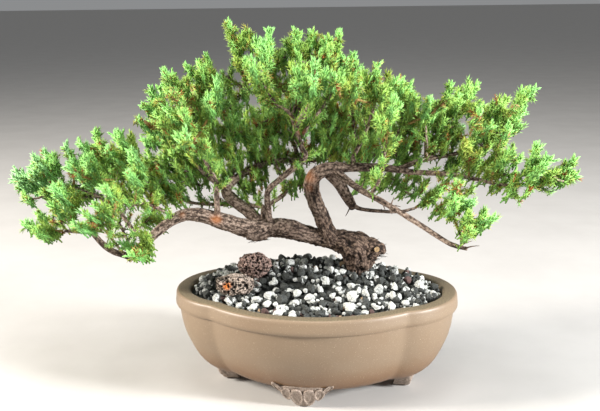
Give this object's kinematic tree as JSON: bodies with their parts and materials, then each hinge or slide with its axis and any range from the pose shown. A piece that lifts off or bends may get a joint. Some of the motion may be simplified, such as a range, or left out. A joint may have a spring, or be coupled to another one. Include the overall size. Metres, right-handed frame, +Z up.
{
  "type": "potted bonsai tree",
  "caption": "Windswept juniper bonsai with a low trunk and wide leafy sprays, in a lobed clay pot on cloud-shaped feet, filled with gravel and lava rocks.",
  "frame": {"origin": "middle of the underside of the whole plant's bounding box, at the height of the surface the pot's feet stand on", "axes": "+X along the pot's long side, towards the right as seen from the front; +Y towards the back; +Z up"},
  "size_m": [0.4288, 0.1842, 0.2834],
  "materials": {
    "clay": "satin speckled stoneware",
    "screen": "moulded black plastic netting",
    "gravel": "matte white pumice and dark lava grit",
    "lava": "rough porous lava rock",
    "bark": "flaking fibrous juniper bark",
    "foliage": "living evergreen needles, semi-matte"
  },
  "bodies": {
    "root": {"pot": "clay", "drainage_screen_left": "screen", "drainage_screen_right": "screen", "gravel": "gravel", "lava_rock_rear": "lava", "lava_rock_front": "lava", "trunk": "bark", "spray_01": "foliage", "spray_02": "foliage", "spray_03": "foliage", "spray_04": "foliage", "spray_05": "foliage", "spray_06": "foliage", "spray_07": "foliage", "spray_08": "foliage", "spray_09": "foliage", "spray_10": "foliage", "spray_11": "foliage", "spray_12": "foliage", "spray_13": "foliage", "spray_14": "foliage", "spray_15": "foliage", "spray_16": "foliage", "spray_17": "foliage", "spray_18": "foliage", "spray_19": "foliage", "spray_20": "foliage", "spray_21": "foliage", "spray_22": "foliage", "spray_23": "foliage", "spray_24": "foliage", "spray_25": "foliage", "spray_26": "foliage", "spray_27": "foliage", "spray_28": "foliage", "spray_29": "foliage", "spray_30": "foliage", "spray_31": "foliage", "spray_32": "foliage", "spray_33": "foliage", "spray_34": "foliage", "spray_35": "foliage", "spray_36": "foliage", "spray_37": "foliage", "spray_38": "foliage", "spray_39": "foliage", "spray_40": "foliage", "spray_41": "foliage", "spray_42": "foliage", "spray_43": "foliage", "spray_44": "foliage", "spray_45": "foliage", "spray_46": "foliage", "spray_47": "foliage", "spray_48": "foliage", "spray_49": "foliage", "spray_50": "foliage", "spray_51": "foliage", "spray_52": "foliage", "spray_53": "foliage"}
  },
  "joints": []
}
